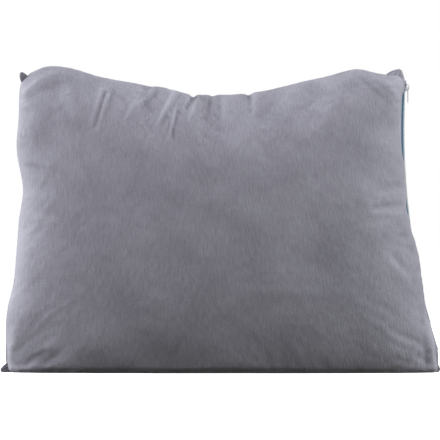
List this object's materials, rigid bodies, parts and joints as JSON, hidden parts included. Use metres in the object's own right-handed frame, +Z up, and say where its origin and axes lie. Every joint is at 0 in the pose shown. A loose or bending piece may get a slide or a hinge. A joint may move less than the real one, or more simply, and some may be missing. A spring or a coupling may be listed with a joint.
{
  "type": "camp pillow",
  "caption": "Large camp pillow, soft zipped cover over an inner bag of foam, standing on its long edge with the filling slumped.",
  "frame": {"origin": "middle of the rectangle that the flat underside stands in", "axes": "+X along the pillow's width towards the zip, +Y from the front panel to the back panel, +Z up"},
  "size_m": [0.5814, 0.1664, 0.4063],
  "materials": {
    "cover": "matte",
    "liner": "matte",
    "foam": "matte",
    "zip_tape": "matte",
    "zip_coil": "satin",
    "zip_metal": "satin"
  },
  "bodies": {
    "cushion": {"front_panel": "cover", "back_panel": "cover", "liner_front": "liner", "liner_back": "liner", "foam_fill": "foam", "zip_tape_front": "zip_tape", "zip_tape_back": "zip_tape", "zip_coil_front": "zip_coil", "zip_coil_back": "zip_coil", "zip_top_stop_front": "zip_metal", "zip_top_stop_back": "zip_metal", "zip_bottom_stop": "zip_metal"},
    "slider": {"zip_slider": "zip_metal"},
    "pull": {"zip_pull": "zip_metal"}
  },
  "joints": [
    {"name": "slider_travel", "type": "hinge", "parent": "cushion", "child": "slider", "pos_m": [1.20922, 0, 0.32199], "axis": [0, -1, 0], "range_deg": [0, 20.4]},
    {"name": "pull_swing", "type": "hinge", "parent": "slider", "child": "pull", "pos_m": [0.24982, 0, 0.379], "axis": [0, -1, 0], "range_deg": [0, 165]}
  ]
}
